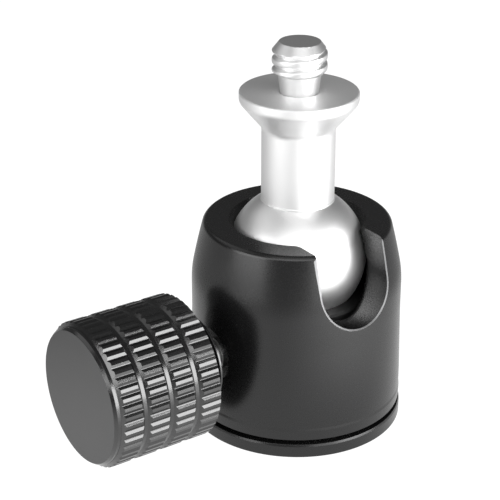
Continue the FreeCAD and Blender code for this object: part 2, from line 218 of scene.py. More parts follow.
# ---------------------------------------------------------------- materials
class Nodes:
    """Small helper round one material's node tree. All textures read object coordinates in millimetres."""

    def __init__(self, name):
        self.mat = bpy.data.materials.new(name)
        self.mat.use_nodes = True
        self.t = self.mat.node_tree
        self.t.nodes.clear()
        self.out = self.t.nodes.new("ShaderNodeOutputMaterial")
        self.p = self.t.nodes.new("ShaderNodeBsdfPrincipled")
        self.t.links.new(self.p.outputs[0], self.out.inputs[0])
        tc = self.t.nodes.new("ShaderNodeTexCoord")
        mp = self.t.nodes.new("ShaderNodeVectorMath")
        mp.operation = "SCALE"
        mp.inputs[3].default_value = 1000.0
        self.t.links.new(tc.outputs["Object"], mp.inputs[0])
        self.mm = mp.outputs[0]

    def link(self, a, b):
        self.t.links.new(a, b)

    def vec(self, scale=(1, 1, 1), shift=(0, 0, 0)):
        m = self.t.nodes.new("ShaderNodeMapping")
        m.inputs["Scale"].default_value = scale
        m.inputs["Location"].default_value = shift
        self.link(self.mm, m.inputs[0])
        return m.outputs[0]

    def noise(self, scale, detail=3.0, rough=0.55, vec=None, dim="3D"):
        n = self.t.nodes.new("ShaderNodeTexNoise")
        n.noise_dimensions = dim
        n.inputs["Scale"].default_value = scale
        n.inputs["Detail"].default_value = detail
        n.inputs["Roughness"].default_value = rough
        self.link(vec if vec is not None else self.mm, n.inputs["Vector"])
        return n.outputs[0]

    def voronoi(self, scale, vec=None, feature="F1"):
        n = self.t.nodes.new("ShaderNodeTexVoronoi")
        n.feature = feature
        n.inputs["Scale"].default_value = scale
        self.link(vec if vec is not None else self.mm, n.inputs["Vector"])
        return n.outputs["Distance"]

    def ramp(self, fac, a, b, lo=0.0, hi=1.0, smooth=False):
        n = self.t.nodes.new("ShaderNodeMapRange")
        n.interpolation_type = "SMOOTHSTEP" if smooth else "LINEAR"
        n.inputs["From Min"].default_value = lo
        n.inputs["From Max"].default_value = hi
        n.inputs["To Min"].default_value = a
        n.inputs["To Max"].default_value = b
        self.link(fac, n.inputs["Value"])
        return n.outputs[0]

    def math(self, op, a, b=None):
        n = self.t.nodes.new("ShaderNodeMath")
        n.operation = op
        for k, v in enumerate((a, b)):
            if v is None:
                continue
            if isinstance(v, (int, float)):
                n.inputs[k].default_value = v
            else:
                self.link(v, n.inputs[k])
        return n.outputs[0]

    def grey(self, fac, lo, hi):
        """A grey between lo and hi by fac."""
        n = self.t.nodes.new("ShaderNodeMix")
        n.data_type = "RGBA"
        n.inputs[6].default_value = (lo[0], lo[1], lo[2], 1)
        n.inputs[7].default_value = (hi[0], hi[1], hi[2], 1)
        self.link(fac, n.inputs[0])
        return n.outputs[2]

    def mix(self, fac, a, b):
        n = self.t.nodes.new("ShaderNodeMix")
        n.data_type = "RGBA"
        self.link(fac, n.inputs[0])
        self.link(a, n.inputs[6])
        self.link(b, n.inputs[7])
        return n.outputs[2]

    def xyz(self):
        s = self.t.nodes.new("ShaderNodeSeparateXYZ")
        self.link(self.mm, s.inputs[0])
        return s.outputs

    def radial(self, axis="z", centre=(0.0, 0.0)):
        """Distance from the turning axis, in millimetres."""
        x, y, z = self.xyz()
        if axis == "z":
            a, b = x, y
        else:
            a, b = x, self.math("SUBTRACT", z, KNOB_Z)
        return self.math("SQRT", self.math("ADD", self.math("MULTIPLY", a, a), self.math("MULTIPLY", b, b)))

    def bump(self, height, dist_um, strength=1.0, normal=None):
        n = self.t.nodes.new("ShaderNodeBump")
        n.inputs["Strength"].default_value = strength
        n.inputs["Distance"].default_value = dist_um * 1e-6
        self.link(height, n.inputs["Height"])
        if normal is not None:
            self.link(normal, n.inputs["Normal"])
        self.link(n.outputs[0], self.p.inputs["Normal"])
        return n.outputs[0]

    def set(self, **kw):
        for k, v in kw.items():
            self.p.inputs[k.replace("_", " ")].default_value = v
        return self

    def wire(self, **kw):
        for k, v in kw.items():
            self.link(v, self.p.inputs[k.replace("_", " ")])
        return self


def turned_lines(n, axis="z", along=None, scale=14.0):
    """Fine turning marks: noise that only changes with radius and height."""
    r = n.radial(axis)
    x, y, z = n.xyz()
    c = n.t.nodes.new("ShaderNodeCombineXYZ")
    n.link(r, c.inputs[0])
    n.link(z if axis == "z" else y, c.inputs[1])
    return n.noise(scale, 4.0, 0.7, c.outputs[0])


def mat_black_body():
    """Black anodised aluminium, fine blasted grain."""
    n = Nodes("black_anodised")
    grain = n.noise(5.5, 3.0, 0.65)
    fine = n.noise(16.0, 2.0, 0.5)
    cloud = n.noise(0.22, 3.0, 0.5)
    base = n.grey(grain, (0.003, 0.003, 0.0031), (0.007, 0.007, 0.0072))
    n.wire(Base_Color=base)
    rough = n.math("ADD", n.ramp(grain, 0.22, 0.31), n.ramp(cloud, -0.02, 0.02))
    n.wire(Roughness=rough)
    n.set(Specular_IOR_Level=0.5, IOR=1.5, Metallic=0.0)
    h = n.math("ADD", n.math("MULTIPLY", grain, 0.8), n.math("MULTIPLY", fine, 0.35))
    n.bump(h, 5.0)
    return n.mat


def mat_bore_painted_shade():
    """Painted shade: the inside of the body is darker and less glossy than the outside."""
    n = Nodes("bore_painted_shade_black")
    g = n.noise(6.0, 3.0, 0.6)
    n.wire(Base_Color=n.grey(g, (0.0015, 0.0015, 0.0015), (0.003, 0.003, 0.003)))
    n.wire(Roughness=n.ramp(g, 0.5, 0.62))
    n.set(Specular_IOR_Level=0.5, IOR=1.22)
    n.bump(g, 5.0)
    return n.mat


def mat_bare_edge():
    """Bright cut aluminium of the chamfer round the notch."""
    n = Nodes("cut_aluminium_edge")
    g = n.noise(9.0, 3.0, 0.6)
    n.wire(Base_Color=n.grey(g, (0.17, 0.17, 0.173), (0.27, 0.27, 0.273)))
    n.set(Metallic=0.8)
    n.wire(Roughness=n.ramp(g, 0.28, 0.5))
    n.bump(g, 5.0)
    return n.mat


def mat_knob():
    """Knurled black sleeve: hard black finish with faint lines left by the knurling."""
    n = Nodes("knob_black")
    long = n.noise(7.0, 4.0, 0.65, n.vec(scale=(2.2, 0.35, 2.2)))
    blot = n.noise(3.2, 2.0, 0.5)
    n.wire(Base_Color=n.grey(blot, (0.003, 0.003, 0.0031), (0.008, 0.008, 0.0082)))
    n.wire(Roughness=n.math("ADD", n.ramp(long, 0.13, 0.22), n.ramp(blot, -0.02, 0.03)))
    n.set(Specular_IOR_Level=0.5, IOR=1.76)
    n.bump(n.math("ADD", n.math("MULTIPLY", long, 0.8), n.math("MULTIPLY", n.noise(14.0, 2.0, 0.5), 0.2)), 7.0)
    return n.mat


def mat_knob_face():
    """Fine matt face of the knob."""
    n = Nodes("knob_face_matt")
    g = n.noise(14.0, 3.0, 0.6)
    cl = n.noise(0.35, 2.0, 0.5)
    rings = turned_lines(n, "knob", scale=9.0)
    n.wire(Base_Color=n.grey(g, (0.009, 0.009, 0.0092), (0.0148, 0.0148, 0.0151)))
    n.wire(Roughness=n.math("ADD", n.ramp(g, 0.28, 0.38), n.ramp(cl, -0.02, 0.02)))
    n.set(Specular_IOR_Level=0.5, IOR=1.455)
    n.bump(n.math("ADD", n.math("MULTIPLY", g, 0.7), n.math("MULTIPLY", rings, 0.3)), 5.0)
    return n.mat


def mat_silver(name, axis="z", blast=0.0, rough=(0.22, 0.34), col=(0.80, 0.90), marks=4.0, metallic=0.9, face=None):
    """Light aluminium: turning marks, or a blasted speckle."""
    n = Nodes(name)
    lines = turned_lines(n, axis)
    speck = n.noise(8.0, 3.0, 0.7)
    cl = n.noise(0.4, 2.0, 0.5)
    if blast > 0:
        mixv = n.math("ADD", n.math("MULTIPLY", lines, 1.0 - blast), n.math("MULTIPLY", speck, blast))
    else:
        mixv = n.math("ADD", n.math("MULTIPLY", lines, 0.75), n.math("MULTIPLY", speck, 0.25))
    n.wire(Base_Color=n.grey(mixv, (col[0],) * 3, (col[1],) * 3))
    n.set(Metallic=metallic)
    r = n.math("ADD", n.ramp(mixv, rough[0], rough[1], 0.25, 0.75), n.ramp(cl, -0.02, 0.02))
    if face:                                     # the turned top of the flange gets its own roughness range from face
        top = n.math("GREATER_THAN", n.xyz()[2], 40.62)
        r = n.math("ADD", n.math("MULTIPLY", r, n.math("SUBTRACT", 1.0, top)),
                   n.math("MULTIPLY", n.ramp(mixv, face[0], face[1], 0.25, 0.75), top))
    n.wire(Roughness=r)
    n.bump(mixv, marks)
    return n.mat


def mat_steel(name, lo=0.42, hi=0.56, rough=(0.22, 0.4)):
    n = Nodes(name)
    g = n.noise(6.0, 4.0, 0.65)
    lines = turned_lines(n, "z")
    n.wire(Base_Color=n.grey(g, (lo,) * 3, (hi,) * 3))
    n.set(Metallic=1.0)
    n.wire(Roughness=n.ramp(lines, rough[0], rough[1], 0.25, 0.75))
    n.bump(n.math("ADD", n.math("MULTIPLY", lines, 0.6), n.math("MULTIPLY", g, 0.4)), 4.0)
    return n.mat


def mat_black_steel():
    n = Nodes("black_oxide_steel")
    g = n.noise(5.0, 4.0, 0.65)
    n.wire(Base_Color=n.grey(g, (0.018, 0.018, 0.019), (0.05, 0.05, 0.052)))
    n.set(Metallic=0.35)
    n.wire(Roughness=n.ramp(g, 0.3, 0.5))
    n.bump(g, 5.0)
    return n.mat


def mat_plastic(name, lo, hi, rough=(0.35, 0.5)):
    n = Nodes(name)
    g = n.noise(3.0, 4.0, 0.6)
    f = n.noise(18.0, 2.0, 0.5)
    n.wire(Base_Color=n.grey(g, lo, hi))
    n.wire(Roughness=n.ramp(f, rough[0], rough[1]))
    n.set(IOR=1.46)
    n.bump(f, 4.0)
    return n.mat


BLACK = mat_black_body()
EDGE = mat_bare_edge()
# painted shade material for the inside of the body
PAINTED_SHADE_BORE = mat_bore_painted_shade()
KNOB = mat_knob()
FACE = mat_knob_face()
STEM = mat_silver("stem_aluminium", rough=(0.45, 0.55), col=(0.80, 0.87), marks=2.5, metallic=1.0, face=(0.54, 0.62))
BALLM = mat_silver("ball_blasted_aluminium", blast=0.85, rough=(0.37, 0.48), col=(0.82, 0.90), marks=6.0, metallic=1.0)
STUDM = mat_silver("stud_plated_steel", rough=(0.36, 0.46), col=(0.77, 0.86), marks=4.0, metallic=1.0)
PLAIN = mat_silver("plain_turned_aluminium", rough=(0.3, 0.45), col=(0.62, 0.72), marks=5.0, metallic=1.0)
STEEL = mat_steel("steel")
BSTEEL = mat_black_steel()
SLIP = mat_plastic("slip_ring_plastic", (0.55, 0.54, 0.50), (0.66, 0.65, 0.61))
CUP = mat_plastic("ball_cup_plastic", (0.004, 0.004, 0.004), (0.007, 0.007, 0.007))


# ------------------------------------------------------------------ housing
BODY_Z0, BODY_R, BODY_FOOT_R, BODY_WIDE_R, BODY_WIDE_Z, BODY_WAIST_Z = 2.24, 12.5, 12.7, 12.75, 3.45, 13.8
BODY_ARC_Z, BODY_ARC_R, BODY_CROWN_Z, BODY_CROWN_R = 17.3, 12.5, 19.8, 100.0
BODY_EDGE_Z, BODY_TOP = 24.42, 25.0
RIM_R_OUT, RIM_R_IN = 10.7, 8.05
BALL_Z, BALL_R, SEAT_R = 20.5, 8.25, 8.28
SEAT_TOP_Z, SEAT_LOW_Z, POCKET_R, POCKET_TOP_Z = 24.1, 21.6, 8.6, 20.95
LOWER_BORE_R, LOWER_BORE_TOP_Z, RING_BORE_R, SHOULDER_Z = 9.4, 10.4, 10.42, 5.3
NOTCH_R, NOTCH_Z = 4.7, 20.35
NOTCH_Y_MIN, NOTCH_Y_MAX = -4.72, 4.52
LIP = 1.25
EDGE_C = 0.15


def body_r(z):
    if z <= BODY_WIDE_Z:
        return BODY_FOOT_R + (BODY_WIDE_R - BODY_FOOT_R) * (z - BODY_Z0 - 0.04) / (BODY_WIDE_Z - BODY_Z0 - 0.04)
    if z <= BODY_WAIST_Z:
        return BODY_WIDE_R + (BODY_R - BODY_WIDE_R) * (z - BODY_WIDE_Z) / (BODY_WAIST_Z - BODY_WIDE_Z)
    if z <= BODY_ARC_Z:
        return BODY_R
    if z <= BODY_CROWN_Z:
        return BODY_R - BODY_ARC_R + math.sqrt(BODY_ARC_R ** 2 - (z - BODY_ARC_Z) ** 2)
    a = math.asin((BODY_CROWN_Z - BODY_ARC_Z) / BODY_ARC_R)
    rc = BODY_R - BODY_ARC_R + (BODY_ARC_R - BODY_CROWN_R) * math.cos(a)
    zc = BODY_CROWN_Z - BODY_CROWN_R * math.sin(a)
    return rc + math.sqrt(BODY_CROWN_R ** 2 - (z - zc) ** 2)


def body_slope(z):
    """How fast the outside narrows with height, eased over the kinks of the turned profile."""
    d = min(0.6, max(z - BODY_WIDE_Z, 0.05))
    return (body_r(max(z - d, BODY_WIDE_Z)) - body_r(min(z + d, BODY_EDGE_Z))) / (min(z + d, BODY_EDGE_Z) - max(z - d, BODY_WIDE_Z))


EDGE_PTS = [(body_r(BODY_EDGE_Z), BODY_EDGE_Z)] + arc3(
    (body_r(BODY_EDGE_Z), BODY_EDGE_Z), (11.02, BODY_TOP - 0.23), (RIM_R_OUT, BODY_TOP), 8)


def inner_r(z):
    if z >= SEAT_TOP_Z:
        a = math.sqrt(SEAT_R ** 2 - (SEAT_TOP_Z - BALL_Z) ** 2)
        return a + (RIM_R_IN - a) * (z - SEAT_TOP_Z) / (BODY_TOP - SEAT_TOP_Z)
    if z >= SEAT_LOW_Z:
        return math.sqrt(SEAT_R ** 2 - (z - BALL_Z) ** 2)
    if z >= POCKET_TOP_Z:
        b = math.sqrt(SEAT_R ** 2 - (SEAT_LOW_Z - BALL_Z) ** 2)
        return POCKET_R + (b - POCKET_R) * (z - POCKET_TOP_Z) / (SEAT_LOW_Z - POCKET_TOP_Z)
    return POCKET_R


def wall_y(side, z):
    """Where the straight part of a notch wall stands at height z."""
    f = (z - NOTCH_Z) / (BODY_TOP + 3.0 - NOTCH_Z)
    end = NOTCH_Y_MAX if side > 0 else -NOTCH_Y_MIN
    return side * (NOTCH_R + (end - NOTCH_R) * f)


def build_housing():
    N = 256
    verts, faces, fm = [], [], []

    def add_rows(rows, wrap):
        """rows of equally many points; wrap joins the last column to the first."""
        base = len(verts)
        cols = len(rows[0])
        for r in rows:
            verts.extend(r)
        fs = grid_faces(len(rows), cols, base, wrap_cols=wrap)
        faces.extend(fs)
        fm.extend([0] * len(fs))

    # heights of the rows beside the notch: round bottom, straight wall, edge rounding
    KT = 26
    rows = []                                   # (kind, t or z, outer radius)
    for k in range(KT + 1):
        rows.append(("u", math.pi / 2 * k / KT, None))
    zs = list(np.linspace(NOTCH_Z, POCKET_TOP_Z, 3)[1:]) + list(np.linspace(POCKET_TOP_Z, SEAT_LOW_Z, 4)[1:])
    zs += list(np.linspace(SEAT_LOW_Z, SEAT_TOP_Z, 11)[1:]) + list(np.linspace(SEAT_TOP_Z, BODY_EDGE_Z, 3)[1:])
    for z in zs:
        rows.append(("z", float(z), body_r(z)))
    for (r, z) in EDGE_PTS[1:]:
        rows.append(("z", z, r))

    def taper(z):
        return EDGE_C * max(0.0, min(1.0, (24.78 - z) / 0.34))

    def edge_shape(side, t):
        """The edge on the knob's side of the notch gets broader and shallower upwards, the other one is even."""
        t = t if side < 0 else 0.0
        return 1.0 + 1.4 * t, 1.0 - 0.3 * t

    J = 9
    W = 7
    outer = {1: [], -1: []}
    inner = {1: [], -1: []}
    strip = {1: [], -1: []}
    for kind, a, ro in rows:
        for side in (1, -1):
            if kind == "u":
                st, ct = math.sin(a), math.cos(a)
                y, z = side * NOTCH_R * st, NOTCH_Z - NOTCH_R * ct
                c, (wide, low) = EDGE_C, edge_shape(side, 0.4 * a / (math.pi / 2))
                yo, zo = side * (NOTCH_R + c * wide) * st, NOTCH_Z - (NOTCH_R + c * wide) * ct
                dy, dz = side * st, -ct
                rwall, rout = body_r(z), body_r(zo)
            else:
                y, z = wall_y(side, a), a
                c, (wide, low) = taper(a), edge_shape(side, min(1.0, 0.4 + 0.9 * (a - NOTCH_Z) / (24.4 - NOTCH_Z)))
                yo, zo = y + side * c * wide, a
                dy, dz = float(side), 0.0
                rwall = rout = ro
            xo = math.sqrt(rout ** 2 - yo ** 2)
            outer[side].append((xo, yo, zo))
            xw = math.sqrt(rwall ** 2 - y ** 2) - c * low
            # fillet between the wall and the inner surface
            qs = np.linspace(0.0, 2 * LIP, 401)
            best, qb = -1.0, 0.0
            for q in qs:
                rr = inner_r(z + dz * q) ** 2 - (y + dy * q) ** 2
                if rr <= 0:
                    break
                v = math.sqrt(rr) + math.sqrt(max(0.0, LIP ** 2 - (LIP - q) ** 2))
                if v > best:
                    best, qb = v, q
            alpha = math.acos(max(-1.0, min(1.0, 1 - qb / LIP)))
            line = [(xo, yo, zo)]
            for w in range(W + 1):
                f = w / W
                line.append((xw + (best - xw) * f, y, z))
            for j in range(1, J + 1):
                al = alpha * j / J
                q = LIP * (1 - math.cos(al))
                line.append((best - LIP * math.sin(al), y + dy * q, z + dz * q))
            inner[side].append(line[-1])
            strip[side].append(line)
    # notch strip: left side from the top down, then right side up
    left = strip[-1][::-1]
    seq = left + strip[1][1:]
    base = len(verts)
    cols = len(seq[0])
    for r in seq:
        verts.extend(r)
    for j in range(len(seq) - 1):
        for i in range(cols - 1):
            faces.append((base + j * cols + i, base + j * cols + i + 1, base + (j + 1) * cols + i + 1, base + (j + 1) * cols + i))
            fm.append(1 if i == 0 else 0)

    def fall(b, B=math.radians(105)):
        if b >= B:
            return 0.0
        t = b / B
        return (1 - t) ** 2 * (1 + 2 * t)

    def cut_row(pr, pl, radius_of, z_of):
        """Open row from the right end point round the back to the left end point."""
        ar = math.atan2(pr[1], pr[0])
        al = math.atan2(pl[1], pl[0])
        row = []
        for i in range(N + 1):
            b = 2 * math.pi * i / N
            th = b + ar * fall(b) + al * fall(2 * math.pi - b)
            if i == 0:
                row.append(pr)
            elif i == N:
                row.append(pl)
            else:
                r = radius_of(th, b)
                row.append((r * math.cos(th), r * math.sin(th), z_of))
        return row

    def ring(r, z):
        return [(r * math.cos(2 * math.pi * i / N), r * math.sin(2 * math.pi * i / N), z) for i in range(N + 1)]

    # outside: full rings up to the notch, then open rows
    zb = outer[1][0][2]
    prof = rounded([(RING_BORE_R + 0.3, BODY_Z0), (BODY_FOOT_R - 0.04, BODY_Z0, 0.02), (BODY_FOOT_R, BODY_Z0 + 0.04, 0.02),
                    (BODY_WIDE_R, BODY_WIDE_Z, 0.12), (BODY_WIDE_R - 0.05, BODY_WIDE_Z + 0.32, 0.12), (body_r(6.0), 6.0)], 5)
    out_rows = [ring(RING_BORE_R, BODY_Z0)] + [ring(r, z) for r, z in prof]
    for z in list(np.linspace(6.0, BODY_WAIST_Z, 9)[1:]) + [zb - 1.0, zb - 0.6, zb - 0.3, zb - 0.12]:
        out_rows.append(ring(body_r(z), z))
    for k, (kind, a, ro) in enumerate(rows):
        pr, pl = outer[1][k], outer[-1][k]
        if k == 0:
            out_rows.append(ring(body_r(zb), zb))
            continue
        rad = body_r(pr[2]) if kind == "u" else ro
        out_rows.append(cut_row(pr, pl, lambda th, b, rad=rad: rad, pr[2]))
    add_rows(out_rows, False)

    # flat rim: rows end on the points of the notch strip's top line
    top_r, top_l = strip[1][-1], strip[-1][-1]
    rim_rows = []
    n_top = len(top_r)
    for i in range(1, n_top):
        pr, pl = top_r[i], top_l[i]
        rr, rl = math.hypot(pr[0], pr[1]), math.hypot(pl[0], pl[1])
        nominal = RIM_R_OUT + (RIM_R_IN - RIM_R_OUT) * (i - 1) / (n_top - 2)

        def rad(th, b, rr=rr, rl=rl, nominal=nominal):
            f1, f2 = fall(b, math.radians(60)), fall(2 * math.pi - b, math.radians(60))
            return nominal + (rr - nominal) * f1 + (rl - nominal) * f2
        rim_rows.append(cut_row(pr, pl, rad, BODY_TOP))
    # first rim row is the outside's last row, last rim row is the inside's first row
    rim_rows[0] = out_rows[-1]
    in_rows = []
    for k in range(len(rows) - 1, 0, -1):
        pr, pl = inner[1][k], inner[-1][k]
        z = pr[2]
        in_rows.append(cut_row(pr, pl, lambda th, b, z=z: inner_r(z), z))
    rim_rows[-1] = in_rows[0]
    add_rows(rim_rows, False)
    zi = inner[1][0][2]
    in_rows.append(ring(POCKET_R, zi))
    for z in [zi - 0.3, zi - 0.8, zi - 1.6, 11.2, LOWER_BORE_TOP_Z]:
        in_rows.append(ring(POCKET_R, z))
    for r, z in [(LOWER_BORE_R, LOWER_BORE_TOP_Z), (LOWER_BORE_R, 9.0), (LOWER_BORE_R, 7.0), (LOWER_BORE_R, SHOULDER_Z),
                 (RING_BORE_R, SHOULDER_Z), (RING_BORE_R, 4.0), (RING_BORE_R, BODY_Z0)]:
        in_rows.append(ring(r, z))
    add_rows(in_rows, False)
    o = make_object("housing_shell", verts, faces, [BLACK, EDGE, PAINTED_SHADE_BORE], fm, 28.0)
    # faces in the pocket and lower bore get the painted shade material
    for p in o.data.polygons:
        c = p.center / MM
        if c.z < 21.2 and math.hypot(c.x, c.y) < 8.64:
            p.material_index = 2

    # bore for the knob bush
    bore = lathe("tool_bore", [(0, 6.0), (3.42, 6.0), (3.42, 14.0), (0, 14.0)], [], 96, axis="knob")
    cut(o, bore, sharp_deg=28.0)
    exact_outer_normals(o)
    return o


def exact_outer_normals(o):
    """The outside is a surface of revolution, so its corner normals are set from the profile itself."""
    me = o.data
    nl = [Vector((0, 0, 0))] * len(me.loops)
    co = [v.co / MM for v in me.vertices]
    for p in me.polygons:
        pts = [co[i] for i in p.vertices]
        if all(BODY_WIDE_Z + 0.3 < q.z < BODY_EDGE_Z + 0.001 and abs(math.hypot(q.x, q.y) - body_r(q.z)) < 0.004 for q in pts):
            c = p.center / MM
            if p.normal.x * c.x + p.normal.y * c.y > 0.9 * math.hypot(c.x, c.y):
                for li, vi in zip(p.loop_indices, p.vertices):
                    q = co[vi]
                    h = math.hypot(q.x, q.y)
                    nl[li] = Vector((q.x / h, q.y / h, body_slope(q.z))).normalized()
        elif all(abs(q.z - BODY_TOP) < 1e-4 for q in pts):
            for li in p.loop_indices:
                nl[li] = Vector((0, 0, 1))
    me.normals_split_custom_set(nl)


housing = build_housing()
place(housing, "body", "housing", slot="black_anodised")


# --------------------------------------------------------------- knob shell
KNOB_R, KNOB_RIM_R, CAP_BACK = 8.5, 8.0, 29.27
TEETH = 50
TOOTH_PHASE = 5.6
TOOTH_D = 0.20
LAND = 0.35
VALLEY = 0.095                                   # share of the pitch
BANDS = (18.87, 3.35, 1.20, 0.38)                # first groove, pitch, groove width, wall and depth


def build_knob_shell():
    pitch = 2 * math.pi / TEETH
    half_land = LAND * pitch / 2
    half = pitch / 2
    foot = half - VALLEY * pitch / 2
    dip = half - VALLEY * pitch * 0.2
    cols = []                                    # (angle, depth)
    for k in range(TEETH):
        c = math.radians(TOOTH_PHASE) + k * pitch
        cols += [(c - half_land, 0.0), (c, 0.0), (c + half_land, 0.0)]
        for f in (1 / 3, 2 / 3, 1.0):
            cols.append((c + half_land + (foot - half_land) * f, TOOTH_D * f))
        cols += [(c + dip, TOOTH_D + 0.009), (c + pitch - dip, TOOTH_D + 0.009)]
        for f in (1.0, 2 / 3, 1 / 3):
            cols.append((c + pitch - half_land - (foot - half_land) * f, TOOTH_D * f))
    ang = np.array([c[0] for c in cols])
    kn = KNOB_R - np.array([c[1] for c in cols])
    rows = []                                    # (R, s) of the turned profile
    D = [0.0, TOOTH_D / 3, TOOTH_D * 2 / 3, TOOTH_D]

    def wall(s0, s1, down, depth):
        """A groove wall between s0 and s1, going down to depth or up from it."""
        pts = [(KNOB_R - d, s0 + (s1 - s0) * d / depth) if down else (KNOB_R - d, s1 - (s1 - s0) * d / depth) for d in D]
        end = (KNOB_R - depth, s1) if down else (KNOB_R - depth, s0)
        pts = pts + [end]
        return pts if down else pts[::-1]

    # back face, neck
    rows += rounded([(2.02, 14.3), (5.42, 14.3, 0.07), (5.42, 14.55, 0.07), (5.05, 14.8, 0.08), (5.05, 16.45, 0.12), (KNOB_R - 0.3, 16.45)], 3)
    rows += wall(16.45, 16.63, False, 0.3)[1:]
    g, step, wide, deep = BANDS
    for k in range(3):
        rows += [(KNOB_R, g - 1.2)]
        rows += wall(g, g + deep, True, deep)
        g1 = g + wide
        rows += [(KNOB_R - deep, 0.5 * (g + g1))]
        rows += wall(g1 - deep, g1, False, deep)
        g += step
    rows += [(KNOB_R, g - 1.2)]
    rows += wall(g, CAP_BACK - 0.02, True, 0.5)
    rows += [(KNOB_RIM_R, CAP_BACK), (6.5, CAP_BACK), (6.5, 27.85), (2.02, 27.85), (2.02, 21.0)]
    verts = []
    for (R, s) in rows:
        r = np.minimum(kn, R)
        for a, q in zip(ang, r):
            verts.append(on_knob_axis((q * math.cos(a), q * math.sin(a), s)))
    nc, nr = len(cols), len(rows)
    rr = [np.minimum(kn, R) for (R, s) in rows]
    faces = []
    for j in range(nr):
        j2 = (j + 1) % nr
        for i in range(nc):
            i2 = (i + 1) % nc
            a, b, c, d = j * nc + i, j * nc + i2, j2 * nc + i2, j2 * nc + i
            ra, rb, rc, rd = rr[j][i], rr[j][i2], rr[j2][i2], rr[j2][i]
            if max(ra, rb, rc, rd) > 8.2 and abs((ra + rc) - (rb + rd)) > 1e-5:
                if ra + rc > rb + rd:
                    faces += [(a, b, c), (a, c, d)]
                else:
                    faces += [(a, b, d), (b, c, d)]
            else:
                faces.append((a, b, c, d))
    return make_object("knob_sleeve", verts, faces, [KNOB], None, 18.0)


knob = build_knob_shell()
tool = lathe("tool_grub", [(0, 1.0), (0.82, 1.0), (0.82, 6.5), (0, 6.5)], [], 32)
tool.data.transform(Matrix.Translation((0, -15.35 * MM, KNOB_Z * MM)) @ Matrix.Rotation(math.pi, 4, "X"))
cut(knob, tool, sharp_deg=18.0)
place(knob, "knob", "knob_shell", slot="knob_metal")

# front cap: plain rim, small rounding, matt face
cap_prof = rounded([(0.0, 27.9), (6.18, 27.9), (6.48, 28.2), (6.48, 29.28), (8.0, 29.28), (8.0, 29.66, 0.05), (7.74, 30.0, 0.06), (0.0, 30.0)], 4, 0.08)
cap_prof = cap_prof[:-1] + [(6.4, 30.0), (4.0, 30.0), (2.0, 30.0), (0.0, 30.0)]
cap = lathe("knob_front_cap", cap_prof, [KNOB, FACE], 256, axis="knob", mat_of=lambda r, z: 1 if z > 29.995 and r < 7.79 else 0)
place(cap, "knob", "knob_cap", slot="knob_face")


# ------------------------------------------------------------------- threads
def helix_piece(name, mats, pitch, r_root, r_crest, z0, z1, cone_top=None, cone_low=None, crest_phase=0.0,
                neck=(), tip=(), seg=128, per=20, left=False, axis="z", crest_w=0.26, root_w=0.22, mat_of=None):
    """Screw thread as rows that follow the helix. crest_phase is the height of a crest at angle 0.
    neck and tip are plain turned rows below and above, tip ends on the axis."""
    def thr(u):
        u = u - math.floor(u)
        d = min(u, 1 - u)                        # distance from the crest, in pitches
        a, b = crest_w / 2, 0.5 - root_w / 2
        if d <= a:
            f = 0.12 * (d / a) ** 2
        elif d >= b:
            f = 1.0 - 0.12 * ((0.5 - d) / (0.5 - b)) ** 2
        else:
            f = 0.12 + 0.76 * (d - a) / (b - a)
        return r_crest - (r_crest - r_root) * f

    def limit(z):
        r = 1e9
        if cone_top:
            (ra, za), (rb, zb) = cone_top
            r = min(r, ra + (rb - ra) * (z - za) / (zb - za))
        if cone_low:
            (ra, za), (rb, zb) = cone_low
            r = min(r, ra + (rb - ra) * (z - za) / (zb - za))
        return r

    n_rows = int(math.ceil((z1 - z0) / pitch * per)) + 2 * per
    verts = []
    start = z0 - pitch
    for (r, z) in neck:
        verts += [(r * math.cos(2 * math.pi * i / seg), r * math.sin(2 * math.pi * i / seg), z) for i in range(seg + 1)]
    for j in range(n_rows + 1):
        for i in range(seg + 1):
            z = start + pitch * (j / per + i / seg)
            zc = min(max(z, z0), z1)
            u = (zc - crest_phase) / pitch - i / seg
            r = min(thr(u), limit(zc))
            if zc <= z0 and neck:
                r = neck[-1][0]
            if zc >= z1 and tip:
                r = tip[0][0]
            a = 2 * math.pi * i / seg
            verts.append((r * math.cos(a), r * math.sin(a), zc))
    for (r, z) in tip:
        verts += [(r * math.cos(2 * math.pi * i / seg), r * math.sin(2 * math.pi * i / seg), z) for i in range(seg + 1)]
    if axis == "knob":
        verts = [on_knob_axis(v) for v in verts]
    rows = len(neck) + n_rows + 1 + len(tip)
    faces = grid_faces(rows, seg + 1, 0, wrap_cols=False)
    return make_object(name, verts, faces, mats, None, 32.0, merge=4e-4)


# camera stud: quarter inch thread, 20 turns per inch, with a relief neck
stud = helix_piece(
    "camera_screw", [STUDM], 1.27, 2.78, 3.17, 42.76, 46.49, crest_w=0.50, root_w=0.12,
    cone_top=((3.17, 45.5), (2.35, 46.55)), cone_low=((2.48, 42.76), (3.17, 43.16)),
    crest_phase=43.40 + 1.27 * (35.05 / 360.0), seg=144, per=24,
    neck=[(0.0, 36.2), (1.9, 36.2), (2.22, 36.45), (2.22, 39.5), (2.22, 40.7), (2.30, 41.4), (2.39, 42.1), (2.47, 42.65), (2.48, 42.76)],
    tip=[(2.40, 46.49), (2.34, 46.53), (2.24, 46.55), (2.0, 46.55), (1.2, 46.55), (0.0, 46.55)])
place(stud, "stem", "camera_stud", slot="stud_steel")

# clamp screw, M4, with a cone point
clamp = helix_piece(
    "clamp_screw_m4", [STEEL], 0.7, 1.57, 2.0, 8.8, 27.2,
    cone_low=((1.9, 8.7), (2.05, 8.95)), cone_top=((2.02, 27.0), (1.7, 27.2)), crest_phase=9.0, seg=64, per=12,
    neck=[(0.0, 6.94), (0.3, 6.94), (1.9, 8.54), (1.9, 8.6), (1.57, 8.72), (1.57, 8.8)],
    tip=[(1.7, 27.2), (1.7, 27.5), (0.9, 27.5), (0.9, 27.2), (0.0, 27.2)], axis="knob")
place(clamp, "knob", "clamp_screw", slot="steel")


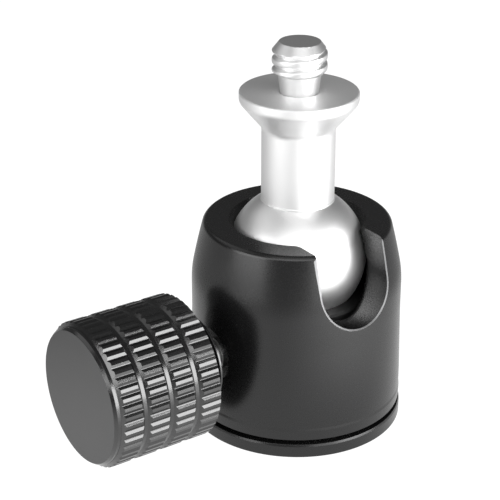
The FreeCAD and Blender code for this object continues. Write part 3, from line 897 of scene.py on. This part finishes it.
def inner_thread_bush(name, pitch, r_minor, r_major, r_out, z0, z1, lead, mats, seg=128, per=20):
    """Bush with an internal thread: the same helix rows, hollow side."""
    def thr(u):
        u = u - math.floor(u)
        d = min(u, 1 - u)
        a, b = 0.09, 0.34
        if d <= a:
            f = 0.0
        elif d >= b:
            f = 1.0
        else:
            f = (d - a) / (b - a)
        return r_minor + (r_major - r_minor) * f

    verts = []
    cc = [(math.cos(2 * math.pi * i / seg), math.sin(2 * math.pi * i / seg)) for i in range(seg + 1)]
    outer = rounded([(r_major + 0.35, z0), (r_out, z0, 0.06), (r_out, z1 - 0.3, 0.05), (r_out - 0.3, z1, 0.05), (r_minor + 0.5, z1)], 3)
    n_rows = int(math.ceil((z1 - z0) / pitch * per)) + 2 * per
    start = z1 + pitch
    rows = []
    for (r, z) in outer:
        rows.append([(r * c, r * s, z) for c, s in cc])
    ends = {1: max(r_minor, 0), -1: r_major + 0.25}
    for j in range(n_rows + 1):
        row = []
        for i, (c, s) in enumerate(cc):
            z = start - pitch * (j / per) + pitch * i / seg - pitch
            zc = min(max(z, z0), z1)
            r = thr(zc / pitch - i / seg)
            top = r_minor + 0.5 - (z1 - zc) * 1.0
            low = r_major + lead - (zc - z0) * 1.0
            r = max(r, top, low)
            row.append((r * c, r * s, zc))
        rows.append(row)
    for r in rows:
        verts.extend(r)
    faces = grid_faces(len(rows), seg + 1, 0, wrap_cols=False, wrap_rows=True)
    return make_object(name, verts, faces, mats, None, 32.0, merge=4e-4)


bush = inner_thread_bush("tripod_screw_bush", 1.27, 2.56, 3.2, 3.98, 0.0, 6.9, 0.2, [STEEL])
place(bush, "base", "tripod_thread_bush", slot="steel")


# ---------------------------------------------------------------- base disc
disc_prof = rounded([(4.0, 0.0), (12.75, 0.0, 0.04), (12.85, 0.1, 0.04), (12.85, 1.42, 0.05), (12.75, 1.7, 0.05), (4.0, 1.7)], 4, 0.06)
disc_prof = [disc_prof[0], (6.0, 0.0), (9.0, 0.0)] + disc_prof[1:-1] + [(9.0, 1.7), (6.0, 1.7), disc_prof[-1]]
disc = lathe("base_plate", disc_prof, [BLACK], 256, closed=True)
screw_xy = [(6.1 * math.cos(math.radians(30 + 120 * k)), 6.1 * math.sin(math.radians(30 + 120 * k))) for k in range(3)]
tools = []
for k, (sx, sy) in enumerate(screw_xy):
    t = lathe("tool_sink%d" % k, [(0, -0.2), (1.97, -0.2), (1.97, 0.18), (1.12, 1.03), (1.1, 1.05), (1.1, 1.8), (0, 1.8)], [], 48)
    t.data.transform(Matrix.Translation((sx * MM, sy * MM, 0)))
    tools.append(t)
cut(disc, *tools, sharp_deg=28.0)
place(disc, "base", "base_disc", slot="black_anodised")


def hex_tool(name, af_r, z0, z1, cx=0.0, cy=0.0):
    verts = []
    for z in (z0, z1):
        verts += [(cx + af_r * math.cos(math.radians(60 * i)), cy + af_r * math.sin(math.radians(60 * i)), z) for i in range(6)]
    faces = [(i, (i + 1) % 6, 6 + (i + 1) % 6, 6 + i) for i in range(6)] + [tuple(range(5, -1, -1)), tuple(range(6, 12))]
    return make_object(name, verts, faces, [], None, 20.0)


# three countersunk screws, one piece for the set
sv, sf = [], []
for k, (sx, sy) in enumerate(screw_xy):
    v, f, _ = lathe("s", rounded([(0.0, 0.12), (1.85, 0.12, 0.03), (1.85, 0.2, 0.03), (1.0, 1.05, 0.05), (1.0, 4.75), (0.75, 5.0), (0.0, 5.0)], 3), [], 48, make=False)
    b = len(sv)
    sv += [(p[0] + sx, p[1] + sy, p[2]) for p in v]
    sf += [tuple(i + b for i in q) for q in f]
screws = make_object("base_plate_screws", sv, sf, [BSTEEL])
cut(screws, *[hex_tool("tool_hex%d" % k, 0.72, -0.1, 0.85, sx, sy) for k, (sx, sy) in enumerate(screw_xy)])
place(screws, "base", "base_screws", slot="black_steel")


# --------------------------------------------------- bush and washer at the knob
kb = lathe("knob_wall_bush", rounded([(2.05, 8.75), (3.4, 8.75, 0.1), (3.4, 10.5), (3.4, 11.7, 0.12), (3.15, 11.95, 0.12), (2.6, 11.95), (2.05, 11.95, 0.1)], 4),
           [BLACK], 128, closed=True, axis="knob")
t = lathe("tool_core", [(0, 0.0), (9.1, 0.0), (9.1, 16.0), (0, 16.0)], [], 192)
cut(kb, t)
place(kb, "body", "knob_bush", slot="steel")

kw = lathe("knob_thrust_washer", rounded([(2.1, 13.64, 0.05), (3.4, 13.64, 0.12), (3.4, 14.26, 0.12), (2.1, 14.26, 0.05), (2.1, 13.9)], 4), [CUP], 128,
           closed=True, axis="knob")
place(kw, "washer", "knob_washer", slot="slip_plastic")


# ---------------------------------------------------------------- ball, stem
ball_prof = [(0.0, 17.2), (2.03, 17.2), (2.03, 20.0), (2.03, 24.0), (2.03, 27.2), (2.33, 27.53), (3.2, 27.53)]
a_top = math.asin((27.53 - BALL_Z) / BALL_R)
n_lat = 88
for k in range(n_lat + 1):
    a = a_top + (-math.pi / 2 - a_top) * k / n_lat
    ball_prof.append((BALL_R * math.cos(a) if k < n_lat else 0.0, BALL_Z + BALL_R * math.sin(a)))
ball = lathe("ball", ball_prof, [BALLM], 192)
t = lathe("tool_cross", [(0, -0.4), (1.53, -0.4), (1.53, 8.0), (1.75, 8.3), (2.4, 9.4), (0, 9.4)], [], 48)
t.data.transform(Matrix.Translation((0, 0, BALL_Z * MM)) @ Matrix.Rotation(-math.pi / 2, 4, "X"))
cut(ball, t)
ball.name = "ball_with_flat"
place(ball, "ball", "ball", slot="blasted_aluminium")

lock_prof = rounded([(0.0, 2.1), (1.2, 2.1), (1.5, 2.4, 0.05), (1.5, 7.05, 0.05), (1.35, 7.2, 0.03), (0.0, 7.2)], 3)
lock = lathe("ball_lock_grub", lock_prof, [BSTEEL], 48)
hx = hex_tool("tool_hexl", 0.85, 5.7, 7.4)
cut(lock, hx)
lock.data.transform(Matrix.Translation((0, 0, BALL_Z * MM)) @ Matrix.Rotation(-math.pi / 2, 4, "X"))
place(lock, "ball", "ball_lock_screw", slot="black_steel")

stem_prof = rounded([(0.0, 17.5), (1.8, 17.5), (2.0, 17.7), (2.0, 27.545), (4.36, 27.545, 0.05), (4.36, 27.70, 0.05), (4.28, 27.78, 0.03), (4.28, 28.6), (4.28, 32.0),
                     (4.28, 36.48, 1.2), (5.4, 37.809), (6.88, 39.6, 0.85), (6.88, 40.32), (6.88, 40.7 - 0.12, 0.06), (6.88 - 0.12, 40.7, 0.05), (4.0, 40.7)], 5, 0.05)
stem_prof += [(3.2, 40.7), (2.56, 40.7), (2.25, 40.55), (2.25, 38.0), (2.25, 35.9), (0.0, 35.9)]
stem = lathe("stem_with_flange", stem_prof, [STEM], 256, sharp_deg=34.0)
place(stem, "stem", "flange_stem", slot="bright_aluminium")


# --------------------------------------------- materials for the CAD pieces that stay
def dress(node, mat):
    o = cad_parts[node]
    if not o.material_slots:
        o.data.materials.append(mat)
    for s in o.material_slots:
        s.link = "OBJECT"
        s.material = mat


for node, mat in {"pan_hub": PLAIN, "pan_washer_lower": SLIP, "retaining_ring": PLAIN, "pan_washer_upper": SLIP, "pressure_ring": STEEL,
                  "disc_spring": STEEL, "ball_cup": CUP, "knob_grub_screw": BSTEEL}.items():
    dress(node, mat)


# ------------------------------------------------------------- floor, light
def stage_floor():
    n = Nodes("studio_floor")
    n.wire(Base_Color=n.grey(n.noise(0.02, 2.0), (0.09, 0.09, 0.09), (0.11, 0.11, 0.11)))
    n.set(Roughness=0.9)
    n.p.inputs["Emission Color"].default_value = (1, 1, 1, 1)
    # painted light: the floor glows, brighter below the two side lights as painted pools of light and duller in front
    # as painted shade; camera rays see it evenly white
    x, y, z = n.xyz()
    r = n.radial()

    def lobe(az, power):
        a = math.radians(az)
        c = n.math("ADD", n.math("MULTIPLY", x, math.cos(a)), n.math("MULTIPLY", y, math.sin(a)))
        return n.math("POWER", n.math("MAXIMUM", n.math("DIVIDE", c, n.math("MAXIMUM", r, 1.0)), 0.0), power)

    # painted light that falls off with distance from the head
    plain = n.ramp(r, FLOOR_NEAR, FLOOR_FAR, 22.0, 70.0, True)
    painted_side_pools = n.math("ADD", n.math("MULTIPLY", lobe(9.0, 4.0), FLOOR_RIGHT), n.math("MULTIPLY", lobe(-92.0, 6.0), FLOOR_LEFT))
    # painted shade in front of the head
    front = n.math("MULTIPLY", lobe(-38.0, 3.0), n.ramp(r, 0.0, 0.38, 50.0, 110.0, True))
    painted_floor_light = n.math("SUBTRACT", n.math("ADD", plain, n.math("MULTIPLY", painted_side_pools, n.ramp(r, 0.0, 1.0, 20.0, 55.0, True))), front)
    path = n.t.nodes.new("ShaderNodeLightPath")
    seen = path.outputs["Is Camera Ray"]
    n.wire(Emission_Strength=n.math("MAXIMUM", painted_floor_light, seen))
    s = 3000.0
    me = bpy.data.meshes.new("studio_floor")
    me.from_pydata([(-s * MM, -s * MM, 0), (s * MM, -s * MM, 0), (s * MM, s * MM, 0), (-s * MM, s * MM, 0)], [], [(0, 1, 2, 3)])
    me.materials.append(n.mat)
    o = bpy.data.objects.new("studio_floor", me)
    bpy.context.scene.collection.objects.link(o)


stage_floor()


def softbox(name, az, el, dist, width, height, radiance, aim=(0.0, 0.0, 0.018)):
    """Rectangular area light at azimuth az (from +X towards +Y) and elevation el."""
    a, e = math.radians(az), math.radians(el)
    d = Vector((math.cos(a) * math.cos(e), math.sin(a) * math.cos(e), math.sin(e)))
    li = bpy.data.lights.new(name, "AREA")
    li.shape = "RECTANGLE"
    li.size, li.size_y = width, height
    li.energy = 4.0 * width * height * radiance
    o = bpy.data.objects.new(name, li)
    o.location = Vector(aim) + d * dist
    o.rotation_mode = "QUATERNION"
    o.rotation_quaternion = d.to_track_quat("Z", "Y")
    bpy.context.scene.collection.objects.link(o)
    return o


def box_size(dist, half_deg):
    return 2 * dist * math.tan(math.radians(half_deg))


def box_light(name, az0, az1, el0, el1, radiance, dist=0.45):
    """Soft light that fills the given range of azimuth and elevation."""
    az, el = 0.5 * (az0 + az1), 0.5 * (el0 + el1)
    w = 2 * dist * math.tan(math.radians(0.5 * (az1 - az0))) * math.cos(math.radians(el))
    return softbox(name, az, el, dist, w, box_size(dist, 0.5 * (el1 - el0)), radiance)


box_light("key_right", 8, 50, -2, 30, 6.5)
box_light("key_low", -20, 8, -1, 9, 2.6)
box_light("fill_left", -112, -70, 0, 28, 3.2)
box_light("front_top", -68, 7, 19, 43, 2.1)
box_light("top_soft", -75, 15, 43, 76, 0.66)
box_light("left_top", -172, -108, 30, 62, 0.5)

world = bpy.data.worlds.new("studio")
bpy.context.scene.world = world
world.use_nodes = True
wt = world.node_tree
wt.nodes.clear()
wo = wt.nodes.new("ShaderNodeOutputWorld")
mixs = wt.nodes.new("ShaderNodeMixShader")
lp = wt.nodes.new("ShaderNodeLightPath")
dim = wt.nodes.new("ShaderNodeBackground")
dim.inputs[0].default_value = (1, 1, 1, 1)
dim.inputs[1].default_value = 0.13
pale = wt.nodes.new("ShaderNodeBackground")
pale.inputs[0].default_value = (1, 1, 1, 1)
pale.inputs[1].default_value = 1.0
wt.links.new(lp.outputs["Is Camera Ray"], mixs.inputs[0])
wt.links.new(dim.outputs[0], mixs.inputs[1])
wt.links.new(pale.outputs[0], mixs.inputs[2])
wt.links.new(mixs.outputs[0], wo.inputs[0])

bpy.context.scene.view_settings.view_transform = "Standard"
bpy.context.scene.view_settings.look = "None"

# ------------------------------------------------------------------- camera
AZ, EL, ROLL = math.radians(54.948), math.radians(24.805), math.radians(0.122)
back = Vector((math.sin(AZ) * math.cos(EL), -math.cos(AZ) * math.cos(EL), math.sin(EL)))
right = Vector((math.cos(AZ), math.sin(AZ), 0.0))
up = back.cross(right)
rx = right * math.cos(ROLL) + up * math.sin(ROLL)
ux = right * -math.sin(ROLL) + up * math.cos(ROLL)
aim = Vector((0.0, 0.0, 20.766)) + right * -5.543
cam = bpy.data.cameras.new("camera")
cam.sensor_width = 36.0
cam.lens = 36.0 * 1573.759 / 500.0
cam.clip_start, cam.clip_end = 0.01, 20.0
co = bpy.data.objects.new("camera", cam)
bpy.context.scene.collection.objects.link(co)
m = Matrix((rx, ux, back)).transposed().to_4x4()
m.translation = (aim + back * 186.662) * MM
co.matrix_world = m
bpy.context.scene.camera = co
